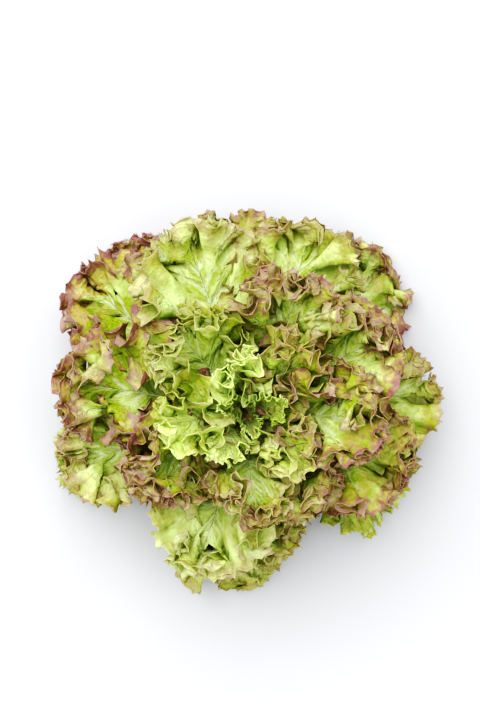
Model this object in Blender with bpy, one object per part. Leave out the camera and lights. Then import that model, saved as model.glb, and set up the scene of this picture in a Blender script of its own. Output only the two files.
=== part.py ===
"""A frilly red-tipped loose-leaf lettuce head, standing on its cut stem.

Every leaf is one thin closed solid, and the stem is another. The head is built as nested shells: the
outermost shell arches over and droops to the table, the innermost one stands nearly upright, and no two
shells meet. Each leaf lies on a shell of its own, so that the leaves are packed and still apart.
The origin is the centre of the stem's cut face, and +Z is up.
"""

import math

import bpy
import numpy as np

MM = 0.001

# Driving dimensions of the whole head, in millimetres and degrees.
STEM_FOOT_RADIUS = 15.0
STEM_TOP_RADIUS = 2.6
STEM_HEIGHT = 58.0
STEM_EDGE = 1.2
STEM_SIDES = 24
LOWEST_LEAF_HEIGHT = 9.0
HIGHEST_LEAF_HEIGHT = 56.0
STEM_GAP = 0.6
SHELL_FOOT_ANGLE = (30.0, 87.0)
SHELL_TIP_ANGLE = (-64.0, 72.0)
DROOP_CROWDING = 1.5
SHELL_REACH = 170.0
SIDE_SLACK = 44.0
WRAP_LIMIT = 64.0
FLOOR_SOFTNESS = 5.0
FLOOR_CLEARANCE = 0.6

# Driving dimensions that every leaf shares.
RIB_SHARE = 0.88
RIB_CROWDING = 1.25
TIP_CROWDING = 1.31
ROUNDNESS = 0.85
STALK_SHARE = 0.6
STALK_START = 0.55
FOOT_HALF_WIDTH = (8.5, 2.0)
WAVES_ROUND_LEAF = 5
BLADE_THICKNESS = (1.1, 0.6)
RIB_THICKNESS = (2.4, 0.8)
RIB_FADE = 0.9
WIDE_LEAF = 60.0
WIDE_LEAF_COLUMNS = 20
NARROW_LEAF_COLUMNS = 14
ROWS = 3
GOLDEN_TURN = 2.39996

# Leaves leave the stem one golden angle apart, so a leaf's bearing follows from its place in the list.
FIRST_BEARING = -10.0
GOLDEN_ANGLE = 137.5

# One row for each leaf, outermost first: the ring it belongs to, how far its bearing is nudged in degrees,
# its length and width, how far its tip is swept sideways, how far its edges are cupped up, its twist, and
# the height of its broad waves, all in millimetres.
LEAVES = (
    ("outer", 0.0, 139.0, 100.0, 5.0, 2.0, 1.0, 2.5),
    ("outer", 5.5, 176.0, 112.0, 2.0, 2.0, -1.0, 2.5),
    ("outer", 0.0, 131.0, 104.0, -8.0, 2.0, 1.0, 2.5),
    ("outer", 3.0, 168.0, 112.0, 4.0, 2.0, 1.0, 2.5),
    ("outer", 19.0, 152.0, 78.0, -5.0, 2.0, 1.0, 3.0),
    ("outer", 9.0, 134.0, 80.0, -4.0, 2.0, 2.0, 3.0),
    ("outer", 0.0, 146.0, 112.0, 0.0, 3.0, 2.0, 3.5),
    ("outer", 19.0, 112.0, 78.0, -6.0, 3.0, 2.0, 3.5),
    ("outer", -4.0, 141.0, 92.0, 0.0, 3.0, -2.0, 4.0),
    ("outer", -5.0, 162.0, 98.0, -4.0, 3.0, 2.0, 4.5),
    ("outer", -8.0, 110.0, 88.0, -8.0, 3.0, 2.0, 4.5),
    ("outer", 6.0, 147.0, 116.0, 4.0, 3.0, -3.0, 5.0),
    ("middle", -4.0, 142.0, 84.0, 2.0, 4.0, -2.0, 5.0),
    ("middle", 0.0, 129.0, 96.0, 4.0, 4.0, 2.0, 5.0),
    ("middle", -8.0, 148.0, 116.0, 5.0, 4.0, 2.0, 5.0),
    ("middle", 4.0, 125.0, 104.0, -10.0, 4.0, 2.0, 5.5),
    ("middle", 2.0, 131.0, 104.0, -5.0, 4.0, 2.0, 5.5),
    ("middle", 0.0, 148.0, 104.0, 4.0, 4.0, -2.0, 5.5),
    ("middle", 4.0, 102.0, 84.0, -5.0, 4.0, 2.0, 5.5),
    ("middle", -14.0, 128.0, 92.0, -4.0, 4.0, 2.0, 5.0),
    ("middle", -12.0, 116.0, 80.0, 4.0, 4.0, -2.0, 5.0),
    ("middle", 0.0, 124.0, 90.0, 4.0, 4.0, 2.0, 5.5),
    ("middle", -8.0, 118.0, 92.0, 4.0, 4.0, 2.0, 5.0),
    ("middle", 0.0, 112.0, 80.0, 4.0, 4.0, 2.0, 5.0),
    ("heart", 0.0, 104.0, 74.0, 3.0, 2.0, 1.0, 3.0),
    ("heart", 0.0, 102.0, 70.0, -3.0, 2.0, 0.5, 3.0),
    ("heart", 0.0, 98.0, 64.0, 3.0, 1.5, 0.5, 2.5),
    ("heart", 0.0, 92.0, 58.0, 3.0, 1.0, 0.5, 2.0),
    ("heart", 0.0, 86.0, 52.0, -3.0, 1.0, 0.5, 1.5),
    ("heart", 0.0, 80.0, 46.0, 3.0, 1.0, 0.5, 1.0),
    ("heart", 0.0, 72.0, 40.0, 2.0, 0.5, 0.0, 1.0),
    ("heart", 0.0, 64.0, 33.0, 2.0, 0.5, 0.0, 0.7),
    ("heart", 0.0, 54.0, 26.0, 1.0, 0.5, 0.0, 0.5),
    ("heart", 0.0, 44.0, 18.0, 0.0, 0.0, 0.0, 0.5),
)


def smooth_step(low, high, value):
    """0 below low, 1 above high, and a smooth rise between them."""
    share = np.clip((value - low) / (high - low), 0.0, 1.0)
    return share * share * (3.0 - 2.0 * share)


def mix(pair, share):
    return pair[0] + (pair[1] - pair[0]) * share


def shell_of(index):
    """The leaf's shell, from 0 outermost to 1 innermost."""
    return index / (len(LEAVES) - 1)


def leaf_plan(length, width, foot, along, across):
    """The flat leaf's x across and y up it. Along runs round the margin from -1 to 1 and is 0 at the tip, and
    across runs out from 0 at the midrib to 1 at the margin."""
    side = np.abs(along)
    stalk = STALK_SHARE * smooth_step(STALK_START, 1.0, side)
    blade = np.sin(math.pi * side) ** ROUNDNESS * (1.0 - stalk)
    margin_x = 0.5 * width * blade + foot * side**2
    margin_y = length * (0.5 + 0.5 * np.cos(math.pi * side**TIP_CROWDING))
    rib_y = RIB_SHARE * length * (1.0 - side) ** RIB_CROWDING
    x = np.sign(along) * margin_x * across
    y = rib_y + (margin_y - rib_y) * across
    return x, y


def shell_point(shell, bearing, x, y, lift):
    """The place on a shell of the flat leaf's point x, y, raised by lift towards the heart. Each shell's
    profile is a circular arc that leaves the stem at one angle and reaches SHELL_REACH at another."""
    foot_radius = mix((STEM_FOOT_RADIUS + STEM_GAP, STEM_TOP_RADIUS + STEM_GAP), shell)
    foot_height = mix((LOWEST_LEAF_HEIGHT, HIGHEST_LEAF_HEIGHT), shell)
    foot_angle = math.radians(mix(SHELL_FOOT_ANGLE, shell))
    turn = math.radians(mix(SHELL_TIP_ANGLE, shell**DROOP_CROWDING)) - foot_angle
    half_turn = 0.5 * turn * y / SHELL_REACH
    chord = y * np.sinc(half_turn / math.pi)
    radius = foot_radius + chord * np.cos(foot_angle + half_turn)
    height = foot_height + chord * np.sin(foot_angle + half_turn)
    girth = np.hypot(radius, SIDE_SLACK * y / SHELL_REACH)
    slope = foot_angle + 2.0 * half_turn
    radius = radius - lift * np.sin(slope)
    height = height + lift * np.cos(slope)
    wrap = math.radians(WRAP_LIMIT)
    angle = math.radians(bearing) + wrap * np.tanh(x / (girth * wrap))
    above = (height - FLOOR_CLEARANCE) / FLOOR_SOFTNESS
    height = FLOOR_CLEARANCE + FLOOR_SOFTNESS * np.logaddexp(0.0, above)
    return np.stack([radius * np.cos(angle), radius * np.sin(angle), height], axis=-1)


def leaf_points(index, leaf, along, across):
    """Places in the head of a leaf's points, on the middle of its thickness, in millimetres."""
    _, nudge, length, width, sweep, cup, twist, wave = leaf
    shell = shell_of(index)
    bearing = FIRST_BEARING + GOLDEN_ANGLE * index + nudge
    foot = mix(FOOT_HALF_WIDTH, shell)
    x, y = leaf_plan(length, width, foot, along, across)
    up_leaf = y / length
    edge = smooth_step(0.0, 1.0, across)
    phase = GOLDEN_TURN * index
    waves = np.sin(math.pi * WAVES_ROUND_LEAF * along + phase)
    sideways = 2.0 * x / width
    lift = cup * sideways**2 + twist * sideways * up_leaf + wave * edge * waves * up_leaf
    return shell_point(shell, bearing, x + sweep * up_leaf**2, y, lift)


def colour_material(name, colour, roughness):
    material = bpy.data.materials.new(name)
    material.use_nodes = True
    shader = material.node_tree.nodes["Principled BSDF"]
    shader.inputs["Base Color"].default_value = (*colour, 1.0)
    shader.inputs["Roughness"].default_value = roughness
    shader.inputs["Metallic"].default_value = 0.0
    return material


def add_leaf(index, name, leaf, material):
    """A leaf as a sheet of quads from its midrib to its margin, given its thickness by Solidify."""
    _, _, length, width, *_ = leaf
    columns = WIDE_LEAF_COLUMNS if width > WIDE_LEAF else NARROW_LEAF_COLUMNS
    along = np.linspace(-1.0, 1.0, columns + 1)
    across = np.linspace(0.0, 1.0, ROWS + 1)[1:]
    grid_along, grid_across = np.meshgrid(along, across, indexing="ij")
    rib_along = np.linspace(0.0, 1.0, columns // 2 + 1)
    rib = leaf_points(index, leaf, rib_along, np.zeros_like(rib_along))
    blade = leaf_points(index, leaf, grid_along, grid_across)
    points = np.concatenate([rib, blade.reshape(-1, 3)])

    def vertex(column, row):
        if row == 0:
            return abs(column - columns // 2)
        return len(rib) + column * ROWS + row - 1

    faces = [
        (vertex(c, r), vertex(c + 1, r), vertex(c + 1, r + 1), vertex(c, r + 1))
        for c in range(columns)
        for r in range(ROWS)
    ]
    mesh = bpy.data.meshes.new(name)
    mesh.from_pydata((points * MM).tolist(), [], faces)
    mesh.shade_smooth()
    mesh.materials.append(material)
    piece = bpy.data.objects.new(name, mesh)
    bpy.context.scene.collection.objects.link(piece)

    rib_thickness = mix(RIB_THICKNESS, shell_of(index))
    flat_y = np.concatenate(
        [
            leaf_plan(length, width, 0.0, rib_along, 0.0 * rib_along)[1],
            leaf_plan(length, width, 0.0, grid_along, grid_across)[1].ravel(),
        ]
    )
    near_rib = np.concatenate([np.ones(len(rib)), (1.0 - grid_across).ravel() ** 2])
    share = near_rib * (1.0 - smooth_step(0.0, RIB_FADE, flat_y / length))
    thickness = mix((mix(BLADE_THICKNESS, shell_of(index)), rib_thickness), share)
    group = piece.vertex_groups.new(name="thickness")
    for vertex_index, weight in enumerate(thickness / rib_thickness):
        group.add([vertex_index], float(weight), "REPLACE")
    solidify = piece.modifiers.new("thickness", "SOLIDIFY")
    solidify.thickness = rib_thickness * MM
    solidify.offset = 0.0
    solidify.vertex_group = group.name
    return piece


def add_stem(material):
    """The stump inside the head: a turned solid with a flat cut face, narrowing to the growing point."""
    profile = (
        (0.0, 0.0),
        (STEM_FOOT_RADIUS - STEM_EDGE, 0.0),
        (STEM_FOOT_RADIUS, STEM_EDGE),
        (STEM_FOOT_RADIUS, 0.5 * LOWEST_LEAF_HEIGHT),
        (0.5 * (STEM_FOOT_RADIUS + STEM_TOP_RADIUS), 0.5 * (LOWEST_LEAF_HEIGHT + HIGHEST_LEAF_HEIGHT)),
        (STEM_TOP_RADIUS, HIGHEST_LEAF_HEIGHT),
        (0.0, STEM_HEIGHT),
    )
    mesh = bpy.data.meshes.new("stem")
    points = [(radius * MM, 0.0, height * MM) for radius, height in reversed(profile)]
    mesh.from_pydata(points, [(i, i + 1) for i in range(len(points) - 1)], [])
    mesh.materials.append(material)
    piece = bpy.data.objects.new("stem", mesh)
    bpy.context.scene.collection.objects.link(piece)
    screw = piece.modifiers.new("turned", "SCREW")
    screw.steps = screw.render_steps = STEM_SIDES
    screw.use_merge_vertices = True
    screw.merge_threshold = 0.0001
    return piece


def build():
    for old in list(bpy.data.objects):
        bpy.data.objects.remove(old)
    rings = {
        "outer": colour_material("outer_leaf", (0.30, 0.30, 0.08), 0.5),
        "middle": colour_material("middle_leaf", (0.36, 0.40, 0.10), 0.5),
        "heart": colour_material("heart_leaf", (0.42, 0.62, 0.13), 0.45),
    }
    add_stem(colour_material("stem", (0.72, 0.74, 0.52), 0.6))
    made = dict.fromkeys(rings, 0)
    for index, leaf in enumerate(LEAVES):
        ring = leaf[0]
        made[ring] += 1
        add_leaf(index, f"{ring}_leaf_{made[ring]:02d}", leaf, rings[ring])


build()
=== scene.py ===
"""The looks of a frilly red-tipped loose-leaf lettuce head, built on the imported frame.

Each leaf is a grid that is refined towards its margin. It is laid on the leaf's own shell of the head,
pleated between its veins, curled, frilled by letting its margin grow, toothed, and given its thickness.
Lengths are in millimetres until a mesh is filled.
"""

import math

import bmesh
import bpy
import numpy as np
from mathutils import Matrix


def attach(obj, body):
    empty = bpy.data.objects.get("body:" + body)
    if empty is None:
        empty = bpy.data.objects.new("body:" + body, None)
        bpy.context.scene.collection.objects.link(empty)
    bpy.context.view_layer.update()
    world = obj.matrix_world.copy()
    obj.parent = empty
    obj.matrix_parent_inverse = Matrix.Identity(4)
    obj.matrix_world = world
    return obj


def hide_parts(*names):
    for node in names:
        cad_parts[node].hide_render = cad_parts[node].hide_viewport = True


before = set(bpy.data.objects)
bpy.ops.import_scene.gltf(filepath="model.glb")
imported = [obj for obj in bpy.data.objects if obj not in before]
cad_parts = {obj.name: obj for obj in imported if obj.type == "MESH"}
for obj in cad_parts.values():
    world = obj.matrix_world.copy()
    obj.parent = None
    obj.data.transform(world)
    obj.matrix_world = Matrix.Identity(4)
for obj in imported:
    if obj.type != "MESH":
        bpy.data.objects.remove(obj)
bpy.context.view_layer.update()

MM = 0.001

# The head's shells and the leaf's outline, as the frame's solids have them. Where a value is a pair, the
# first is for the outermost shell or leaf and the second for the innermost.
STEM_FOOT_RADIUS = 15.0
STEM_TOP_RADIUS = 2.6
LOWEST_LEAF_HEIGHT = 9.0
HIGHEST_LEAF_HEIGHT = 56.0
STEM_GAP = 0.6
SHELL_FOOT_ANGLE = (30.0, 87.0)
SHELL_TIP_ANGLE = (-64.0, 72.0)
DROOP_CROWDING = 1.5
SHELL_REACH = 170.0
SIDE_SLACK = 44.0
WRAP_LIMIT = 64.0
FLOOR_SOFTNESS = 5.0
FLOOR_CLEARANCE = 0.6
RIB_SHARE = 0.88
RIB_CROWDING = 1.25
TIP_CROWDING = 1.31
ROUNDNESS = 0.85
STALK_SHARE = 0.6
STALK_START = 0.55
FOOT_HALF_WIDTH = (8.5, 2.0)
WAVES_ROUND_LEAF = 5
GOLDEN_TURN = 2.39996
FIRST_BEARING = -10.0
GOLDEN_ANGLE = 137.5

# The frame's leaves, outermost first: ring, nudge of the bearing in degrees, length, width, sweep of the tip,
# cup, twist and broad waves. Then the looks: how red the margin is, how strongly the leaf is frilled, how
# many degrees its margin curls up, and how pale its green is, from -1 to 1.
LEAVES = (
    ("outer", 0.0, 139.0, 100.0, 5.0, 2.0, 1.0, 2.5, 0.53, 0.95, 25.0, 0.0),
    ("outer", 5.5, 176.0, 112.0, 2.0, 2.0, -1.0, 2.5, 1.3, 1.3, 120.0, -0.6),
    ("outer", 0.0, 131.0, 104.0, -8.0, 2.0, 1.0, 2.5, 0.3, 1.3, 20.0, 0.2),
    ("outer", 3.0, 168.0, 112.0, 4.0, 2.0, 1.0, 2.5, 0.65, 1.3, 45.0, 0.2),
    ("outer", 19.0, 152.0, 78.0, -5.0, 2.0, 1.0, 3.0, 0.2, 0.75, 0.0, 0.0),
    ("outer", 9.0, 134.0, 80.0, -4.0, 2.0, 2.0, 3.0, 0.15, 0.55, 0.0, -0.15),
    ("outer", 0.0, 146.0, 112.0, 0.0, 3.0, 2.0, 3.5, 0.75, 1.0, 55.0, 0.1),
    ("outer", 19.0, 112.0, 78.0, -6.0, 3.0, 2.0, 3.5, 0.3, 1.3, 30.0, 0.15),
    ("outer", -4.0, 141.0, 92.0, 0.0, 3.0, -2.0, 4.0, 0.48, 1.15, 45.0, 0.0),
    ("outer", -5.0, 162.0, 98.0, -4.0, 3.0, 2.0, 4.5, 1.2, 1.3, 130.0, -0.5),
    ("outer", -8.0, 110.0, 88.0, -8.0, 3.0, 2.0, 4.5, 0.38, 1.0, 30.0, 0.2),
    ("outer", 6.0, 147.0, 116.0, 4.0, 3.0, -3.0, 5.0, 0.35, 1.15, 15.0, 0.0),
    ("middle", -4.0, 142.0, 84.0, 2.0, 4.0, -2.0, 5.0, 0.4, 1.1, 35.0, 0.25),
    ("middle", 0.0, 129.0, 96.0, 4.0, 4.0, 2.0, 5.0, 0.7, 1.25, 110.0, -0.1),
    ("middle", -8.0, 148.0, 116.0, 5.0, 4.0, 2.0, 5.0, 0.35, 1.15, 15.0, 0.15),
    ("middle", 4.0, 125.0, 104.0, -10.0, 4.0, 2.0, 5.5, 0.3, 1.5, 40.0, 0.35),
    ("middle", 2.0, 131.0, 104.0, -5.0, 4.0, 2.0, 5.5, 0.75, 1.3, 130.0, 0.0),
    ("middle", 0.0, 148.0, 104.0, 4.0, 4.0, -2.0, 5.5, 1.0, 1.3, 140.0, -0.2),
    ("middle", 4.0, 102.0, 84.0, -5.0, 4.0, 2.0, 5.5, 0.5, 1.2, 55.0, 0.2),
    ("middle", -14.0, 128.0, 92.0, -4.0, 4.0, 2.0, 5.0, 0.6, 1.15, 55.0, 0.1),
    ("middle", -12.0, 116.0, 80.0, 4.0, 4.0, -2.0, 5.0, 0.55, 1.2, 110.0, 0.0),
    ("middle", 0.0, 124.0, 90.0, 4.0, 4.0, 2.0, 5.5, 0.7, 1.2, 120.0, 0.0),
    ("middle", -8.0, 118.0, 92.0, 4.0, 4.0, 2.0, 5.0, 0.2, 1.0, 60.0, 0.0),
    ("middle", 0.0, 112.0, 80.0, 4.0, 4.0, 2.0, 5.0, 0.55, 0.9, 65.0, 0.2),
    ("heart", 0.0, 104.0, 74.0, 3.0, 2.0, 1.0, 3.0, 0.5, 0.65, 65.0, 0.0),
    ("heart", 0.0, 102.0, 70.0, -3.0, 2.0, 0.5, 3.0, 0.2, 0.6, 65.0, 0.3),
    ("heart", 0.0, 98.0, 64.0, 3.0, 1.5, 0.5, 2.5, 0.4, 0.6, 65.0, 0.3),
    ("heart", 0.0, 92.0, 58.0, 3.0, 1.0, 0.5, 2.0, 0.1, 0.6, 60.0, 0.5),
    ("heart", 0.0, 86.0, 52.0, -3.0, 1.0, 0.5, 1.5, 0.1, 0.3, 55.0, 0.6),
    ("heart", 0.0, 80.0, 46.0, 3.0, 1.0, 0.5, 1.0, 0.05, 0.15, 50.0, 0.4),
    ("heart", 0.0, 72.0, 40.0, 2.0, 0.5, 0.0, 1.0, 0.05, 0.12, 45.0, 0.4),
    ("heart", 0.0, 64.0, 33.0, 2.0, 0.5, 0.0, 0.7, 0.0, 0.08, 40.0, 0.5),
    ("heart", 0.0, 54.0, 26.0, 1.0, 0.5, 0.0, 0.5, 0.0, 0.06, 30.0, 0.4),
    ("heart", 0.0, 44.0, 18.0, 0.0, 0.0, 0.0, 0.5, 0.0, 0.04, 20.0, 0.4),
)

# The grid of a leaf before it is laid out, and the shares of the way to the margin past which it is refined.
COLUMNS = {"outer": 60, "middle": 60, "heart": 32}
ROWS = 6
FINE_FROM = (0.48, 0.7, 0.86, 0.95)

# The side veins of each half of a leaf, which stand closer at the midrib by a share, and the blade's bulges
# between them: how tall they are at most, and for each millimetre between two veins, how round they are, and
# how deep the veins lie between them.
VEINS = 11
VEIN_GAP_AT_RIB = 0.12
PLEAT_HEIGHT = 2.4
PLEAT_SLOPE = 0.2
PLEAT_ROUNDNESS = 0.8
PLEAT_SINK = 0.6

# The margin's curl: how far in it begins, how much of a leaf's own degrees it turns everywhere, the degrees
# by which it varies, and the length along the margin over which it does. A margin that runs straight has the
# least bend, so that its arc has a radius.
CURL_REACH = 32.0
CURL_SHARE = 0.5
CURL_SPREAD = 55.0
CURL_PACE = 13.0
LEAST_BEND = 1e-6

# The sizes of fold: length of one fold along the margin, its height, and how far in it reaches from there.
# The first is laid on the leaf before its margin grows, and each of the others starts one round of growth.
# The scale stretches the folds of a ring, and the overhang is the share of its length by which a fold leans.
FRILLS = (
    (56.0, 9.0, 70.0),
    (20.0, 8.0, 44.0),
    (8.5, 3.6, 19.0),
    (4.0, 1.4, 8.0),
)
FOLD_SCALE = {"outer": 0.85, "middle": 0.85, "heart": 1.6}
FOLD_OVERHANG = 0.1

# How unlike each other the folds are in spacing, slant, height and lean: by how much, and how quickly. For
# the lean, the first value is the part that all folds share.
FOLD_DRIFT = (1.5, 0.45)
FOLD_SLANT = (0.9, 4.0)
FOLD_SWELL = (0.5, 0.37)
FOLD_LEAN = (0.3, 0.23)

# The folds fade out towards the midrib, and between these shares of the way from the tip to the foot.
FRILL_FREE_RIB = 14.0
FRILL_FADE = (0.75, 0.98)

# How much longer the margin grows than the leaf it hems: a share at the margin, and how quickly it fades
# away from there. Each round adds one more.
GROWTH = ((2.9, 38.0), (2.8, 14.0), (2.4, 5.5))

# The rounds of growth, from coarse to fine: the points skipped along the margin and across it, how many steps
# are taken, how stiff the leaf is against bending, and how many of the growths act.
RELAXATIONS = ((8, 8, 250, 0.055, 1), (4, 8, 110, 0.04, 2), (2, 4, 70, 0.035, 3))

# The share of a wrong length that each end takes up in one step, and how firmly a point is held to its place:
# far from the margin, the distances between which that sets in, and everywhere.
STRETCH_STIFFNESS = 0.225
HOLD = 0.25
HOLD_FROM = (55.0, 85.0)
SLACK_HOLD = 0.001

# The margin's teeth, large and small: spacing, length, and how far in they reach. Then how unevenly they are
# spaced, how pointed they are, how their length varies and how quickly, how deep they are notched, how they
# taper inwards, and the share of them that a leaf without frills would have.
TEETH = ((9.0, 3.3, 7.0), (3.6, 1.6, 3.2))
TOOTH_DRIFT = 1.2
TOOTH_POINT = 0.7
TOOTH_SWELL = (0.9, 0.8)
TOOTH_NOTCH = 0.35
TOOTH_TAPER = 1.5
PLAIN_LEAF_TEETH = 0.4

# How low a leaf can hang, and how softly it meets that height.
REST_HEIGHT = 0.5
REST_SOFTNESS = 0.8

# The thickness of the blade, and of the midrib on the outermost and the innermost leaf, its half width there,
# how much it narrows on its way up, and the shares of the leaf's length at which it is narrow and flat. Then
# how near two points are that become one, in metres.
BLADE_THICKNESS = 0.5
RIB_THICKNESS = (4.0, 1.4)
RIB_HALF_WIDTH = (9.0, 3.0)
RIB_TAPER = 0.75
RIB_NARROW_AT = 0.8
RIB_FLAT_AT = 0.9
MERGE_DISTANCE = 1e-5

# How much the red of the margin varies round a leaf, and how quickly.
BLUSH_SWELL = (0.35, 6.0)

# The greens of each ring: in the deep mottles, in the fresh ones, and the pale green of the veins and base,
# which also paints a highlight along a leaf's edge. Then the flush at the margin, its darker blots and rim,
# and the tint and share of the light through a blade.
GREENS = {
    "outer": ((0.335, 0.45, 0.016), (0.73, 0.85, 0.34), (0.90, 0.96, 0.70)),
    "middle": ((0.345, 0.455, 0.016), (0.74, 0.86, 0.35), (0.91, 0.97, 0.70)),
    "heart": ((0.42, 0.56, 0.014), (0.79, 0.95, 0.30), (0.94, 0.98, 0.66)),
}
BRONZE = (0.60, 0.46, 0.15)
PURPLE = (0.36, 0.18, 0.175)
CLEAR = (0.9, 1.0, 0.42)
LIGHT_THROUGH = 0.42

# How fine the blade's streaks are along the margin, and from the midrib out to it. The leaf's map is flat, so
# the third value changes nothing.
STREAKS = (70.0, 5.0, 1.0)

# The camera's place, its lens and sensor in millimetres, and the floor. Places and the floor are in metres.
CAMERA_PLACE = (-0.0045, 0.0395, 0.81)
LENS = 50.0
SENSOR_HEIGHT = 36.0
FLOOR_SIZE = 40.0
FLOOR_COLOUR = (0.425, 0.425, 0.435, 1.0)

# The big soft light, in metres and watts, and the pale surround, which is dimmer overhead than at the sides:
# its colour, the heights between which it fades, and its strengths.
WINDOW_PLACE = (-0.4, 0.75, 1.9)
WINDOW_SIZE = 2.0
WINDOW_POWER = 74.0
SKY_COLOUR = (0.97, 0.985, 1.0, 1.0)
SKY_HEIGHTS = (0.45, 1.0)
SKY_STRENGTHS = (2.1, 0.62)

# How the picture deepens its shadows, and how it warms them in its blue: the light of a place, and the light
# shown there.
CONTRAST = ((0.05, 0.016), (0.11, 0.057), (0.2, 0.175), (0.4, 0.445), (0.7, 0.725))
WARM_SHADOWS = ((0.02, 0.009), (0.05, 0.034), (0.1, 0.088), (0.2, 0.2), (0.7, 0.7))


def smooth_step(low, high, value):
    """0 below low, 1 above high, and a smooth rise between them."""
    share = np.clip((value - low) / (high - low), 0.0, 1.0)
    return share * share * (3.0 - 2.0 * share)


def mix(pair, share):
    """The value that lies a share of the way from the pair's first to its second."""
    return pair[0] + (pair[1] - pair[0]) * share


def unit(vectors):
    """The vectors at a length of one."""
    return vectors / np.maximum(np.linalg.norm(vectors, axis=-1, keepdims=True), 1e-9)


def wander(place, seed):
    """A smooth value that wanders between -1 and 1 as place runs on, in a way of its own for each seed."""
    return (
        np.sin(place + 1.7 * seed) + np.sin(0.618 * place + 2.9 * seed) + np.sin(0.381 * place + 0.7 * seed)
    ) / 2.6


def shell_of(index):
    """The leaf's shell, from 0 outermost to 1 innermost."""
    return index / (len(LEAVES) - 1)


def leaf_plan(length, width, foot, along, across):
    """The flat leaf's x across and y up it, where along runs round the margin from -1 to 1 with the tip at 0,
    and across runs out from 0 at the midrib to 1 at the margin."""
    side = np.abs(along)
    stalk = STALK_SHARE * smooth_step(STALK_START, 1.0, side)
    blade = np.sin(math.pi * side) ** ROUNDNESS * (1.0 - stalk)
    margin_x = 0.5 * width * blade + foot * side**2
    margin_y = length * (0.5 + 0.5 * np.cos(math.pi * side**TIP_CROWDING))
    rib_y = RIB_SHARE * length * (1.0 - side) ** RIB_CROWDING
    x = np.sign(along) * margin_x * across
    y = rib_y + (margin_y - rib_y) * across
    return x, y


def shell_point(shell, bearing, x, y, lift):
    """The place on a shell of the flat leaf's point x, y, raised by lift towards the heart."""
    foot_radius = mix((STEM_FOOT_RADIUS + STEM_GAP, STEM_TOP_RADIUS + STEM_GAP), shell)
    foot_height = mix((LOWEST_LEAF_HEIGHT, HIGHEST_LEAF_HEIGHT), shell)
    foot_angle = math.radians(mix(SHELL_FOOT_ANGLE, shell))
    turn = math.radians(mix(SHELL_TIP_ANGLE, shell**DROOP_CROWDING)) - foot_angle
    half_turn = 0.5 * turn * y / SHELL_REACH
    chord = y * np.sinc(half_turn / math.pi)
    radius = foot_radius + chord * np.cos(foot_angle + half_turn)
    height = foot_height + chord * np.sin(foot_angle + half_turn)
    girth = np.hypot(radius, SIDE_SLACK * y / SHELL_REACH)
    slope = foot_angle + 2.0 * half_turn
    radius = radius - lift * np.sin(slope)
    height = height + lift * np.cos(slope)
    wrap = math.radians(WRAP_LIMIT)
    angle = math.radians(bearing) + wrap * np.tanh(x / (girth * wrap))
    above = (height - FLOOR_CLEARANCE) / FLOOR_SOFTNESS
    height = FLOOR_CLEARANCE + FLOOR_SOFTNESS * np.logaddexp(0.0, above)
    return np.stack([radius * np.cos(angle), radius * np.sin(angle), height], axis=-1)


def plain_leaf(index, along, across):
    """The smooth leaf as the frame has it."""
    _, nudge, length, width, sweep, cup, twist, wave = LEAVES[index][:8]
    shell = shell_of(index)
    bearing = FIRST_BEARING + GOLDEN_ANGLE * index + nudge
    x, y = leaf_plan(length, width, mix(FOOT_HALF_WIDTH, shell), along, across)
    up_leaf = y / length
    edge = smooth_step(0.0, 1.0, across)
    waves = np.sin(math.pi * WAVES_ROUND_LEAF * along + GOLDEN_TURN * index)
    sideways = 2.0 * x / width
    lift = cup * sideways**2 + twist * sideways * up_leaf + wave * edge * waves * up_leaf
    return shell_point(shell, bearing, x + sweep * up_leaf**2, y, lift)


def between(points, axis):
    """The points with one more, on a smooth curve, between each two along the axis."""
    points = np.moveaxis(points, axis, 0)
    padded = np.concatenate([2.0 * points[:1] - points[1:2], points, 2.0 * points[-1:] - points[-2:-1]])
    middle = (9.0 * (padded[1:-2] + padded[2:-1]) - padded[:-3] - padded[3:]) / 16.0
    result = np.empty((2 * len(points) - 1,) + points.shape[1:])
    result[0::2], result[1::2] = points, middle
    return np.moveaxis(result, 0, axis)


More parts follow.
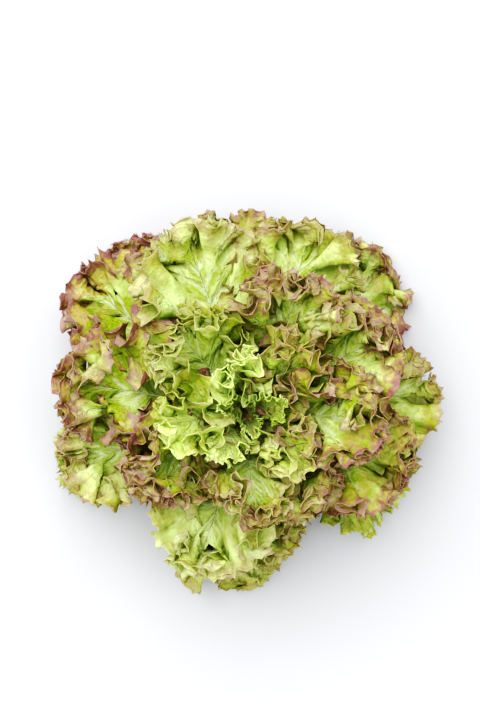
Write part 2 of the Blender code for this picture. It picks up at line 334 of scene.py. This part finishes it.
class Leaf:
    """A leaf's points on a full grid of along and across, shaped in steps. Distances come from the smooth
    leaf: run goes along the margin from the tip, and gap is how far apart the veins are."""

    def __init__(self, index, columns, rows):
        self.seed = GOLDEN_TURN * index
        self.strength = LEAVES[index][9]
        self.fold_scale = FOLD_SCALE[LEAVES[index][0]]
        along, across = np.linspace(-1.0, 1.0, columns + 1), np.linspace(0.0, 1.0, rows + 1)
        self.along, self.across = np.meshgrid(along, across, indexing="ij")
        self.plain = self.points = plain_leaf(index, self.along, self.across)
        rib, margin = self.points[:, 0], self.points[:, -1]
        run = np.concatenate([[0.0], np.cumsum(np.linalg.norm(np.diff(margin, axis=0), axis=1))])
        self.run = (run - run[columns // 2])[:, None] + 0.0 * self.across
        self.gap = np.gradient(run, along)[:, None] * mix((VEIN_GAP_AT_RIB, 1.0), self.across) / VEINS
        way_out = np.linalg.norm(margin - rib, axis=1)[:, None]
        self.from_margin = (1.0 - self.across) * way_out
        self.from_rib = self.across * way_out
        free = smooth_step(0.0, FRILL_FREE_RIB, self.from_rib)
        self.free = free * (1.0 - smooth_step(*FRILL_FADE, np.abs(self.along)))

    def shape(self, degrees):
        """Takes the smooth leaf through every step to its frilled form."""
        self.pleat()
        self.frill(FRILLS[0], 0)
        held = self.points
        self.curl(degrees)
        self.relax(held)
        self.teeth()
        self.rest()

    def axes(self):
        """Unit vectors along the margin, out towards it, and square to the leaf on its upper face."""
        tangent = np.gradient(self.points, axis=0)
        outward = unit(np.gradient(self.points, axis=1))
        normal = unit(np.cross(outward, tangent))
        return np.cross(normal, outward), outward, normal

    def pleat(self):
        """Sinks the veins, so that the blade bulges between them."""
        _, _, normal = self.axes()
        bulge = np.abs(np.sin(math.pi * VEINS * self.along)) ** PLEAT_ROUNDNESS - PLEAT_SINK
        tall = np.minimum(PLEAT_HEIGHT, PLEAT_SLOPE * self.gap) * self.free
        self.points = self.points + normal * (bulge * tall)[..., None]

    def curl(self, degrees):
        """Bends the margin along an arc, up in most places and down in some."""
        _, outward, normal = self.axes()
        outward, normal = self.steady(outward), self.steady(normal)
        swing = CURL_SHARE * degrees + CURL_SPREAD * wander(self.run / CURL_PACE, self.seed + 2.0)
        swing = np.radians(swing) * self.free
        bend = swing / CURL_REACH
        bend = np.where(np.abs(bend) < LEAST_BEND, LEAST_BEND, bend)
        inside = np.clip(CURL_REACH - self.from_margin, 0.0, CURL_REACH)
        up = (1.0 - np.cos(bend * inside)) / bend
        out = np.sin(bend * inside) / bend - inside
        self.points = self.points + normal * up[..., None] + outward * out[..., None]

    def steady(self, vectors):
        """The vectors where the curl begins, for each place along the margin, used all the way out."""
        start = np.argmin(np.abs(self.from_margin - CURL_REACH), axis=1)
        return vectors[np.arange(len(start)), start][:, None, :] + 0.0 * vectors

    def frill(self, size, number):
        """Adds one size of fold along the margin. Each fold overhangs a little, as a meander does."""
        fold, height, reach = size
        fold = fold * self.fold_scale
        seed = self.seed + number
        tangent, _, normal = self.axes()
        near = (1.0 - smooth_step(0.0, reach, self.from_margin)) * self.free
        turn = 2.0 * math.pi * self.run / fold
        drift = FOLD_DRIFT[0] * wander(FOLD_DRIFT[1] * turn, seed)
        slant = FOLD_SLANT[0] * wander(self.from_margin / fold * FOLD_SLANT[1], seed + 3.0)
        turn = turn + drift + slant
        swell = 1.0 + FOLD_SWELL[0] * wander(FOLD_SWELL[1] * turn, seed + 5.0)
        up = self.strength * height * swell * near * np.sin(turn)
        lean = FOLD_OVERHANG * (FOLD_LEAN[0] + wander(FOLD_LEAN[1] * turn, seed + 6.0))
        sideways = -self.strength * lean * fold * near * np.sin(2.0 * turn)
        self.points = self.points + normal * up[..., None] + tangent * sideways[..., None]

    def relax(self, held):
        """Lets the margin, which has grown longer than the leaf it hems, buckle until its folds fit its
        length. It works on a coarse choice of the grid's points, then on finer ones, and fills in the others
        between. The part far from the margin is held, and the midrib's two halves stay together."""
        for level, (skip_along, skip_across, steps, bending, terms) in enumerate(RELAXATIONS):
            self.frill(FRILLS[level + 1], level + 1)
            some = (slice(None, None, skip_along), slice(None, None, skip_across))
            points, target = self.points[some].copy(), held[some]
            hold = self.hold(some)
            links = self.links(some, GROWTH[:terms])
            for _ in range(steps):
                for first, second, rest in links:
                    gap = points[second] - points[first]
                    push = STRETCH_STIFFNESS * (1.0 - rest / np.linalg.norm(gap, axis=-1))
                    points[first] += push[..., None] * gap
                    points[second] -= push[..., None] * gap
                points[1:-1] += bending * (points[2:] + points[:-2] - 2.0 * points[1:-1])
                points[:, 1:-1] += bending * (points[:, 2:] + points[:, :-2] - 2.0 * points[:, 1:-1])
                points += hold * (target - points)
                points[:, 0] = 0.5 * (points[:, 0] + points[::-1, 0])
            for _ in range(int(math.log2(skip_along))):
                points = between(points, 0)
            for _ in range(int(math.log2(skip_across))):
                points = between(points, 1)
            self.points = points

    def hold(self, some):
        """How firmly each point of a coarser grid is held: most far from the margin and near the foot."""
        far = np.maximum(smooth_step(*HOLD_FROM, self.from_margin[some]), 1.0 - self.free[some])
        return np.maximum(HOLD * far, SLACK_HOLD)[..., None]

    def links(self, some, grown):
        """The pairs of neighbours in a coarser grid, along, across and both ways aslant, and how far apart
        the grown leaf wants them."""
        plain, free, from_margin = self.plain[some], self.free[some], self.from_margin[some]
        growth = np.ones_like(free)
        for amount, reach in grown:
            growth = growth + self.strength * amount * np.exp(-from_margin / reach) * free
        along, across = np.diff(plain, axis=0), np.diff(plain, axis=1)
        grown_along = along * (0.5 * (growth[1:] + growth[:-1]))[..., None]
        every, start, end = slice(None), slice(None, -1), slice(1, None)
        lean = 0.5 * (across[1:] + across[:-1])
        slanted = 0.5 * (grown_along[:, 1:] + grown_along[:, :-1])
        return [
            ((start, every), (end, every), np.linalg.norm(grown_along, axis=-1)),
            ((every, start), (every, end), np.linalg.norm(across, axis=-1)),
            ((start, start), (end, end), np.linalg.norm(slanted + lean, axis=-1)),
            ((start, end), (end, start), np.linalg.norm(slanted - lean, axis=-1)),
        ]

    def teeth(self):
        """Draws the margin out in cusps, large and small, spaced along its folds."""
        _, outward, _ = self.axes()
        steps = np.diff(self.points[:, -1], axis=0, prepend=0.0)
        folded = np.cumsum(np.linalg.norm(steps, axis=1))[:, None]
        out = 0.0
        for number, (spacing, length, reach) in enumerate(TEETH):
            drift = TOOTH_DRIFT * wander(folded / spacing, self.seed + 7.0 + number)
            place = math.pi * folded / spacing + drift
            tooth = 1.0 - np.abs(np.sin(place)) ** TOOTH_POINT
            swell = TOOTH_SWELL[0] * wander(TOOTH_SWELL[1] * folded / spacing, self.seed + 9.0 + number)
            tall = length * (1.0 + swell)
            near = (1.0 - smooth_step(0.0, reach, self.from_margin)) ** TOOTH_TAPER
            out = out + tall * (tooth - TOOTH_NOTCH) * near
        out = out * self.free * mix((PLAIN_LEAF_TEETH, 1.0), self.strength)
        self.points = self.points + outward * out[..., None]

    def rest(self):
        """Keeps the leaf above the surface that the head stands on."""
        over = (self.points[..., 2] - REST_HEIGHT) / REST_SOFTNESS
        self.points[..., 2] = REST_HEIGHT + REST_SOFTNESS * np.logaddexp(0.0, over)


def grid_sheet(name, columns):
    """A flat grid from -1 to 1 each way, refined towards its far edge, where the margin's frills will be."""
    bpy.ops.object.select_all(action="DESELECT")
    bpy.ops.mesh.primitive_grid_add(x_subdivisions=columns, y_subdivisions=ROWS, size=2.0)
    sheet = bpy.context.object
    sheet.name = sheet.data.name = name
    bpy.ops.object.mode_set(mode="EDIT")
    bpy.ops.mesh.select_mode(type="FACE")
    for share in FINE_FROM:
        bpy.ops.mesh.select_all(action="DESELECT")
        edit = bmesh.from_edit_mesh(sheet.data)
        for face in edit.faces:
            face.select_set(face.calc_center_median().y > 2.0 * share - 1.0)
        bmesh.update_edit_mesh(sheet.data)
        bpy.ops.mesh.subdivide(number_cuts=1, ngon=False)
    bpy.ops.object.mode_set(mode="OBJECT")
    return sheet


def lay_sheet(mesh, leaf):
    """Moves a flat grid's vertices to the leaf's points. Gives back which point each vertex took, and where
    it lies along and across the leaf."""
    flat = np.empty(3 * len(mesh.vertices))
    mesh.vertices.foreach_get("co", flat)
    along, across = flat[0::3], 0.5 + 0.5 * flat[1::3]
    columns, rows = leaf.along.shape[0] - 1, leaf.along.shape[1] - 1
    spot = np.rint(0.5 * (along + 1.0) * columns).astype(int), np.rint(across * rows).astype(int)
    mesh.vertices.foreach_set("co", (leaf.points[spot] * MM).ravel())
    return spot, along, across


def set_value(mesh, name, values):
    """A value for each vertex, which the materials read by its name."""
    values = np.asarray(values, dtype=np.float32)
    mesh.attributes.new(name, "FLOAT", "POINT").data.foreach_set("value", values)


def leaf_thickness(shell, from_rib, up_leaf):
    """How thick a leaf is at each place: thin over its blade, and thick at its midrib near the foot."""
    narrowing = RIB_TAPER * smooth_step(0.0, RIB_NARROW_AT, up_leaf)
    rib_half_width = mix(RIB_HALF_WIDTH, shell) * (1.0 - narrowing)
    near_rib = 1.0 - smooth_step(0.0, 1.0, from_rib / rib_half_width)
    near_rib = near_rib * (1.0 - smooth_step(0.0, RIB_FLAT_AT, up_leaf))
    return mix((BLADE_THICKNESS, mix(RIB_THICKNESS, shell)), near_rib)


def thicken(sheet, thickness, thickest):
    """Closes the sheet where the midrib's two halves meet, and makes it solid."""
    group = sheet.vertex_groups.new(name="thickness")
    levels = np.round(thickness / thickest, 2)
    for level in np.unique(levels):
        group.add(np.flatnonzero(levels == level).tolist(), float(level), "REPLACE")
    bpy.ops.object.mode_set(mode="EDIT")
    bpy.ops.mesh.select_mode(type="VERT")
    bpy.ops.mesh.select_all(action="SELECT")
    bpy.ops.mesh.remove_doubles(threshold=MERGE_DISTANCE)
    bpy.ops.object.mode_set(mode="OBJECT")
    upper = len(sheet.data.vertices)
    solidify = sheet.modifiers.new("thickness", "SOLIDIFY")
    solidify.thickness = thickest * MM
    solidify.offset = 0.0
    solidify.vertex_group = group.name
    bpy.ops.object.modifier_apply(modifier=solidify.name)
    bpy.ops.object.shade_smooth()
    set_value(sheet.data, "underside", np.arange(len(sheet.data.vertices)) < upper)


def add_leaf(index, name, material):
    """A leaf's frilled sheet, given its thickness, its finish and the values that the finish reads."""
    ring, _, length, width = LEAVES[index][:4]
    blush, _, curl, tone = LEAVES[index][8:]
    fine = 2 ** len(FINE_FROM)
    leaf = Leaf(index, fine * COLUMNS[ring], fine * ROWS)
    leaf.shape(curl)

    sheet = grid_sheet(name, COLUMNS[ring])
    spot, along, across = lay_sheet(sheet.data, leaf)
    _, up_leaf = leaf_plan(length, width, 0.0, along, across)
    up_leaf = up_leaf / length
    set_value(sheet.data, "from_margin", leaf.from_margin[spot])
    set_value(sheet.data, "from_rib", leaf.from_rib[spot])
    set_value(sheet.data, "up_leaf", up_leaf)
    set_value(sheet.data, "vein_gap", leaf.gap[spot])
    set_value(sheet.data, "blush", blush * (1.0 + BLUSH_SWELL[0] * wander(BLUSH_SWELL[1] * along, index)))
    set_value(sheet.data, "tone", tone + 0.0 * along)

    shell = shell_of(index)
    thicken(sheet, leaf_thickness(shell, leaf.from_rib[spot], up_leaf), mix(RIB_THICKNESS, shell))
    sheet.data.uv_layers[0].name = "leaf_place"
    sheet.data.materials.clear()
    sheet.data.materials.append(material)
    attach(sheet, "root")
    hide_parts(name)


def add_node(tree, kind, settings=(), **values):
    """A node of one kind, with its settings and the values of its inputs, whose names have _ for a space."""
    node = tree.nodes.new(kind)
    for key, value in dict(settings).items():
        setattr(node, key, value)
    for key, value in values.items():
        node.inputs[key.replace("_", " ")].default_value = value
    return node


def math_node(tree, operation, first, second=None, third=None, clamp=False):
    """The result socket of a Math node whose inputs are sockets or numbers."""
    node = tree.nodes.new("ShaderNodeMath")
    node.operation = operation
    node.use_clamp = clamp
    for socket, value in zip(node.inputs, (first, second, third)):
        if value is None:
            continue
        if isinstance(value, (int, float)):
            socket.default_value = value
        else:
            tree.links.new(value, socket)
    return node.outputs[0]


def fade_node(tree, value, low, high, to_low=0.0, to_high=1.0):
    """The result socket of a smooth Map Range from low..high to to_low..to_high."""
    node = tree.nodes.new("ShaderNodeMapRange")
    node.interpolation_type = "SMOOTHSTEP"
    for number, item in enumerate((value, low, high, to_low, to_high)):
        if isinstance(item, (int, float)):
            node.inputs[number].default_value = item
        else:
            tree.links.new(item, node.inputs[number])
    return node.outputs[0]


def mix_node(tree, share, first, second, blend="MIX"):
    """The result socket of a colour mix. Colours and the share are sockets or values."""
    node = tree.nodes.new("ShaderNodeMix")
    node.data_type = "RGBA"
    node.blend_type = blend
    for number, item in ((0, share), (6, first), (7, second)):
        if isinstance(item, (int, float, tuple)):
            node.inputs[number].default_value = item if number == 0 else (*item, 1.0)
        else:
            tree.links.new(item, node.inputs[number])
    return node.outputs[2]


def value_of(tree, name):
    """The socket of a value that the leaf's mesh carries."""
    return add_node(tree, "ShaderNodeAttribute", {"attribute_name": name}).outputs["Fac"]


def new_group(name, inputs, outputs):
    """An empty node group with its named inputs and outputs, and its two end nodes."""
    tree = bpy.data.node_groups.new(name, "ShaderNodeTree")
    for label, value in inputs:
        socket = tree.interface.new_socket(label, in_out="INPUT", socket_type="NodeSocketFloat")
        socket.default_value = value
    for label in outputs:
        tree.interface.new_socket(label, in_out="OUTPUT", socket_type="NodeSocketFloat")
    return tree, tree.nodes.new("NodeGroupInput"), tree.nodes.new("NodeGroupOutput")


def object_place(tree):
    """The socket of the object's own coordinates, in metres."""
    return tree.nodes.new("ShaderNodeTexCoord").outputs["Object"]


def noise_socket(tree, scale, detail, distortion=0.0):
    """A noise over the object's own coordinates."""
    noise = add_node(tree, "ShaderNodeTexNoise", Scale=scale, Detail=detail, Distortion=distortion)
    tree.links.new(object_place(tree), noise.inputs["Vector"])
    return noise.outputs["Fac"]


def streak_socket(tree, place):
    """Streaks that follow the veins, from a noise stretched over the leaf's own map."""
    stretched = add_node(tree, "ShaderNodeVectorMath", {"operation": "MULTIPLY"})
    stretched.inputs[1].default_value = STREAKS
    tree.links.new(place, stretched.inputs[0])
    streaks = add_node(tree, "ShaderNodeTexNoise", Scale=1.0, Detail=4.0, Distortion=0.3)
    tree.links.new(stretched.outputs[0], streaks.inputs["Vector"])
    return fade_node(tree, streaks.outputs["Fac"], 0.3, 0.7)


def vein_group():
    """Veins that fan out from the midrib, and a net of fine ones between them, as a mask and a relief."""
    tree, given, result = new_group(
        "leaf_veins", [("Veins", 11.0), ("Rib Width", 5.0), ("Net", 0.4)], ["Mask", "Relief", "Streaks"]
    )
    place = add_node(tree, "ShaderNodeUVMap", {"uv_map": "leaf_place"}).outputs["UV"]
    split = tree.nodes.new("ShaderNodeSeparateXYZ")
    tree.links.new(place, split.inputs[0])
    along = math_node(tree, "MULTIPLY_ADD", split.outputs["X"], 2.0, -1.0)
    wobble = math_node(tree, "MULTIPLY_ADD", noise_socket(tree, 70.0, 2.0), 0.7, -0.35)
    turn = math_node(tree, "MULTIPLY", along, given.outputs["Veins"])
    turn = math_node(tree, "ADD", turn, wobble)
    off_line = math_node(tree, "PINGPONG", turn, 0.5)
    off_line = math_node(tree, "MULTIPLY", off_line, value_of(tree, "vein_gap"))
    width = fade_node(tree, value_of(tree, "from_margin"), 2.0, 45.0, 0.35, 1.1)
    lateral = fade_node(tree, off_line, 0.0, width, 1.0, 0.0)
    narrowing = fade_node(tree, value_of(tree, "up_leaf"), 0.0, 0.95, 1.0, 0.12)
    rib_width = math_node(tree, "MULTIPLY", given.outputs["Rib Width"], narrowing)
    rib = fade_node(tree, value_of(tree, "from_rib"), 0.0, rib_width, 1.0, 0.0)
    cells = add_node(tree, "ShaderNodeTexVoronoi", {"feature": "DISTANCE_TO_EDGE"}, Scale=260.0)
    tree.links.new(object_place(tree), cells.inputs["Vector"])
    net = fade_node(tree, cells.outputs["Distance"], 0.0, 0.16, 1.0, 0.0)
    net = math_node(tree, "MULTIPLY", net, given.outputs["Net"])
    strong = math_node(tree, "MAXIMUM", math_node(tree, "MULTIPLY", lateral, 0.75), rib)
    tree.links.new(math_node(tree, "MAXIMUM", strong, net, clamp=True), result.inputs["Mask"])
    streaks = streak_socket(tree, place)
    tree.links.new(streaks, result.inputs["Streaks"])
    blisters = fade_node(tree, cells.outputs["Distance"], 0.0, 0.5)
    relief = math_node(tree, "SUBTRACT", math_node(tree, "MULTIPLY", blisters, 0.3), strong)
    tree.links.new(math_node(tree, "ADD", relief, streaks), result.inputs["Relief"])
    return tree


def blush_group():
    """The margin's flush, patchy and speckled, its darker blots, the redder rim of a blushed leaf, and a
    painted highlight along the edge of one that isn't."""
    tree, given, result = new_group(
        "margin_blush", [("Reach", 16.0)], ["Flush", "Purple", "Rim", "Painted Edge Highlight"]
    )
    blush, from_margin = value_of(tree, "blush"), value_of(tree, "from_margin")
    patches = noise_socket(tree, 75.0, 4.0, 0.4)
    spread = fade_node(tree, patches, 0.3, 0.7, 0.25, 1.8)
    reach = math_node(tree, "MULTIPLY", given.outputs["Reach"], spread)
    near = fade_node(tree, from_margin, 0.0, reach, 1.0, 0.0)
    flush = math_node(tree, "MULTIPLY", near, math_node(tree, "MULTIPLY", blush, 1.5))
    speckles = fade_node(tree, noise_socket(tree, 200.0, 5.0, 0.3), 0.2, 0.8, 0.2, 1.25)
    flush = math_node(tree, "MULTIPLY", flush, speckles, clamp=True)
    tree.links.new(flush, result.inputs["Flush"])
    blots = fade_node(tree, noise_socket(tree, 130.0, 4.0, 0.6), 0.33, 0.67, 2.0, 28.0)
    purple = math_node(tree, "MULTIPLY", fade_node(tree, from_margin, 0.0, blots, 1.0, 0.0), flush)
    tree.links.new(purple, result.inputs["Purple"])
    # Painted highlight: a pale line along the margin of a leaf with little red, standing in for its thin edge
    # catching the light.
    edge = fade_node(tree, from_margin, 0.0, 5.0, 1.0, 0.0)
    edge = math_node(tree, "MULTIPLY", edge, fade_node(tree, patches, 0.35, 0.65))
    edge = math_node(tree, "SUBTRACT", edge, blush, clamp=True)
    tree.links.new(edge, result.inputs["Painted Edge Highlight"])
    rim = fade_node(tree, from_margin, 0.0, 2.2, 1.0, 0.0)
    rim = math_node(tree, "MULTIPLY", rim, fade_node(tree, blush, 0.1, 0.6))
    rim = math_node(tree, "MULTIPLY", rim, fade_node(tree, patches, 0.4, 0.6))
    tree.links.new(rim, result.inputs["Rim"])
    return tree


def leaf_colour(tree, veins, blush, deep, fresh, pale):
    """The mottled green of a blade under its paler and redder layers, each with the share it covers."""
    tone = value_of(tree, "tone")
    mottle = fade_node(tree, noise_socket(tree, 38.0, 5.0), 0.32, 0.68)
    mottle = math_node(tree, "MULTIPLY_ADD", tone, 0.5, mottle)
    mottle = math_node(tree, "MULTIPLY_ADD", veins.outputs["Streaks"], 0.5, mottle)
    mottle = math_node(tree, "SUBTRACT", mottle, 0.25, clamp=True)
    colour = mix_node(tree, mottle, deep, fresh)
    layers = (
        (tone, 0.35, pale),
        (fade_node(tree, value_of(tree, "up_leaf"), 0.05, 0.4, 1.0, 0.0), 0.4, pale),
        (veins.outputs["Mask"], 0.6, pale),
        # Painted highlight along the edge, in the pale green.
        (blush.outputs["Painted Edge Highlight"], 0.35, pale),
        (blush.outputs["Flush"], 0.85, BRONZE),
        (blush.outputs["Purple"], 1.0, PURPLE),
        (blush.outputs["Rim"], 0.7, PURPLE),
        (value_of(tree, "underside"), 0.12, pale),
    )
    for where, share, over in layers:
        colour = mix_node(tree, math_node(tree, "MULTIPLY", where, share, clamp=True), colour, over)
    return colour


def leaf_relief(tree, relief, grain):
    """The normals of a blade whose veins and streaks stand out, with a fine grain over them."""
    coarse = add_node(tree, "ShaderNodeBump", Strength=1.0, Distance=0.0011)
    tree.links.new(relief, coarse.inputs["Height"])
    fine = add_node(tree, "ShaderNodeBump", Strength=0.6, Distance=0.0006)
    tree.links.new(grain, fine.inputs["Height"])
    tree.links.new(coarse.outputs["Normal"], fine.inputs["Normal"])
    return fine.outputs["Normal"]


def leaf_material(name, groups, deep, fresh, pale):
    """A leaf's finish: its colour, its relief, a satin surface, and light through the thin blade."""
    material = bpy.data.materials.new(name)
    material.use_nodes = True
    tree = material.node_tree
    surface = tree.nodes["Principled BSDF"]
    veins, blush = {"node_tree": groups["veins"]}, {"node_tree": groups["blush"]}
    veins = add_node(tree, "ShaderNodeGroup", veins, Veins=VEINS, Rib_Width=6.0, Net=0.14)
    blush = add_node(tree, "ShaderNodeGroup", blush, Reach=33.0)
    colour = leaf_colour(tree, veins, blush, deep, fresh, pale)
    tree.links.new(colour, surface.inputs["Base Color"])
    grain = noise_socket(tree, 520.0, 4.0)
    tree.links.new(fade_node(tree, grain, 0.2, 0.8, 0.3, 0.5), surface.inputs["Roughness"])
    surface.inputs["Specular IOR Level"].default_value = 0.25
    normal = leaf_relief(tree, veins.outputs["Relief"], grain)
    tree.links.new(normal, surface.inputs["Normal"])
    through = tree.nodes.new("ShaderNodeBsdfTranslucent")
    tree.links.new(mix_node(tree, 1.0, colour, CLEAR, "MULTIPLY"), through.inputs["Color"])
    tree.links.new(normal, through.inputs["Normal"])
    both = tree.nodes.new("ShaderNodeMixShader")
    both.inputs[0].default_value = LIGHT_THROUGH
    tree.links.new(surface.outputs[0], both.inputs[1])
    tree.links.new(through.outputs[0], both.inputs[2])
    tree.links.new(both.outputs[0], tree.nodes["Material Output"].inputs["Surface"])
    return material


def stem_material():
    """The pale stem, browned a little where it is cut."""
    material = bpy.data.materials.new("stem_flesh")
    material.use_nodes = True
    tree = material.node_tree
    surface = tree.nodes["Principled BSDF"]
    split = tree.nodes.new("ShaderNodeSeparateXYZ")
    tree.links.new(object_place(tree), split.inputs[0])
    cut = fade_node(tree, split.outputs["Z"], 0.0003, 0.003, 1.0, 0.0)
    patches = fade_node(tree, noise_socket(tree, 160.0, 5.0, 0.5), 0.35, 0.65)
    flesh = mix_node(tree, patches, (0.58, 0.62, 0.33), (0.74, 0.76, 0.52))
    browned = mix_node(tree, patches, (0.42, 0.26, 0.12), (0.68, 0.55, 0.34))
    tree.links.new(mix_node(tree, cut, flesh, browned), surface.inputs["Base Color"])
    surface.inputs["Roughness"].default_value = 0.55
    bump = add_node(tree, "ShaderNodeBump", Strength=0.5, Distance=0.0006)
    tree.links.new(noise_socket(tree, 500.0, 4.0), bump.inputs["Height"])
    tree.links.new(bump.outputs["Normal"], surface.inputs["Normal"])
    return material


def add_camera():
    """A camera above the head that looks straight down, with the photo's upper edge towards +Y."""
    camera = bpy.data.cameras.new("camera")
    camera.lens = LENS
    camera.sensor_fit = "VERTICAL"
    camera.sensor_height = SENSOR_HEIGHT
    holder = bpy.data.objects.new("camera", camera)
    holder.location = CAMERA_PLACE
    bpy.context.scene.collection.objects.link(holder)
    bpy.context.scene.camera = holder


def add_floor():
    """A plain pale floor."""
    bpy.ops.object.select_all(action="DESELECT")
    bpy.ops.mesh.primitive_plane_add(size=FLOOR_SIZE, location=(0.0, 0.0, 0.0))
    floor = bpy.context.object
    floor.name = "floor"
    paper = bpy.data.materials.new("floor_paper")
    paper.use_nodes = True
    shader = paper.node_tree.nodes["Principled BSDF"]
    shader.inputs["Base Color"].default_value = FLOOR_COLOUR
    shader.inputs["Roughness"].default_value = 0.9
    shader.inputs["Specular IOR Level"].default_value = 0.1
    floor.data.materials.append(paper)


def add_surround():
    """A pale light from all round, stronger from the sides than from overhead."""
    world = bpy.data.worlds.new("surround")
    world.use_nodes = True
    sky = world.node_tree
    background = sky.nodes["Background"]
    background.inputs["Color"].default_value = SKY_COLOUR
    split = sky.nodes.new("ShaderNodeSeparateXYZ")
    sky.links.new(sky.nodes.new("ShaderNodeTexCoord").outputs["Generated"], split.inputs[0])
    strength = fade_node(sky, split.outputs["Z"], *SKY_HEIGHTS, *SKY_STRENGTHS)
    sky.links.new(strength, background.inputs["Strength"])
    bpy.context.scene.world = world


def add_window():
    """A big soft light from beyond the head's upper side, which faces the head."""
    light = bpy.data.lights.new("window", "AREA")
    light.size = WINDOW_SIZE
    light.energy = WINDOW_POWER
    holder = bpy.data.objects.new("window", light)
    holder.location = WINDOW_PLACE
    holder.rotation_euler = holder.location.to_track_quat("Z", "Y").to_euler()
    bpy.context.scene.collection.objects.link(holder)


def set_tones():
    """Gives the picture the photo's deep, warm shadows."""
    view = bpy.context.scene.view_settings
    view.view_transform = "Standard"
    view.use_curve_mapping = True
    _, _, blue, contrast = view.curve_mapping.curves
    for curve, points in ((contrast, CONTRAST), (blue, WARM_SHADOWS)):
        for light, shown in points:
            curve.points.new(light, shown)
    view.curve_mapping.update()


def build():
    """The studio, the 34 leaves, each in place of its solid, and the finish of the frame's own stem."""
    add_camera()
    add_floor()
    add_surround()
    add_window()
    set_tones()
    groups = {"veins": vein_group(), "blush": blush_group()}
    materials = {}
    for ring, greens in GREENS.items():
        materials[ring] = leaf_material(f"{ring}_leaf_skin", groups, *greens)
    made = dict.fromkeys(materials, 0)
    for index, leaf in enumerate(LEAVES):
        ring = leaf[0]
        made[ring] += 1
        add_leaf(index, f"{ring}_leaf_{made[ring]:02d}", materials[ring])
    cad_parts["stem"].material_slots[0].material = stem_material()


build()
